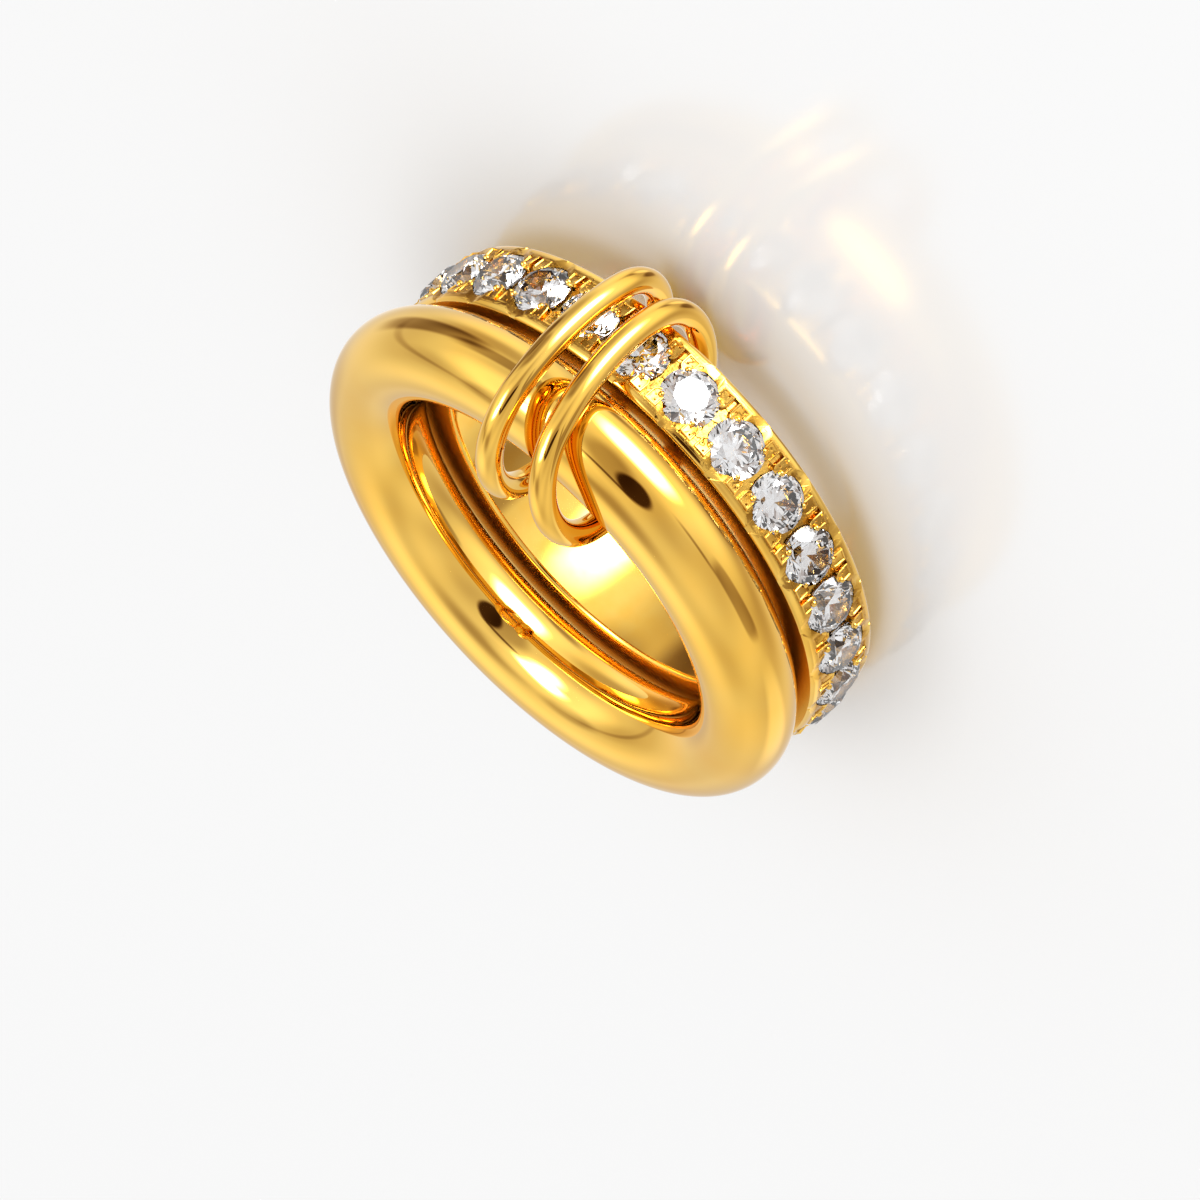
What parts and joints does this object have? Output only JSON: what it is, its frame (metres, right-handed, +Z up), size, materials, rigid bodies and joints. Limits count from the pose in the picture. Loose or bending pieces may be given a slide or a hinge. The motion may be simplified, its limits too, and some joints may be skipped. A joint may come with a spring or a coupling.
{
  "type": "chunky ring",
  "caption": "Finger ring of a plain round tube band and a stone-set band, held together by oval wire links.",
  "frame": {"origin": "on the axis of the finger hole, halfway through the stack of both bands", "axes": "+Z up as the ring lies on its side, tube band up; the finger hole's axis leans from +Z towards +Y by 4.74 degrees, because the links' wires lie under the lower band at -Y"},
  "size_m": [0.0254, 0.0277, 0.0122],
  "materials": {
    "gold": "gold plated and polished",
    "stone": "cut and polished, clear"
  },
  "bodies": {
    "stone_ring": {"stone_band": "gold", "stone_01": "stone", "stone_02": "stone", "stone_03": "stone", "stone_04": "stone", "stone_05": "stone", "stone_06": "stone", "stone_07": "stone", "stone_08": "stone", "stone_09": "stone", "stone_10": "stone", "stone_11": "stone", "stone_12": "stone", "stone_13": "stone", "stone_14": "stone", "stone_15": "stone", "stone_16": "stone", "stone_17": "stone", "stone_18": "stone", "stone_19": "stone", "stone_20": "stone", "stone_21": "stone", "stone_22": "stone", "stone_23": "stone", "stone_24": "stone", "stone_25": "stone", "stone_26": "stone"},
    "left_link": {"link_left": "gold"},
    "right_link": {"link_right": "gold"},
    "tube_ring": {"tube_band": "gold"}
  },
  "joints": [
    {"name": "link_slide", "type": "hinge", "parent": "stone_ring", "child": "left_link", "pos_m": [-0.00023, 0.00008, -0.00001], "axis": [0, 0.0827, 0.9966], "continuous": true},
    {"name": "link_spread", "type": "hinge", "parent": "left_link", "child": "right_link", "pos_m": [-0.00023, 0.00008, -0.00001], "axis": [0, 0.0827, 0.9966], "range_deg": [-6, 2]},
    {"name": "band_fan", "type": "hinge", "parent": "left_link", "child": "tube_ring", "pos_m": [0, -0.0105, 0.00283], "axis": [1, 0, 0], "range_deg": [0, 180]}
  ]
}
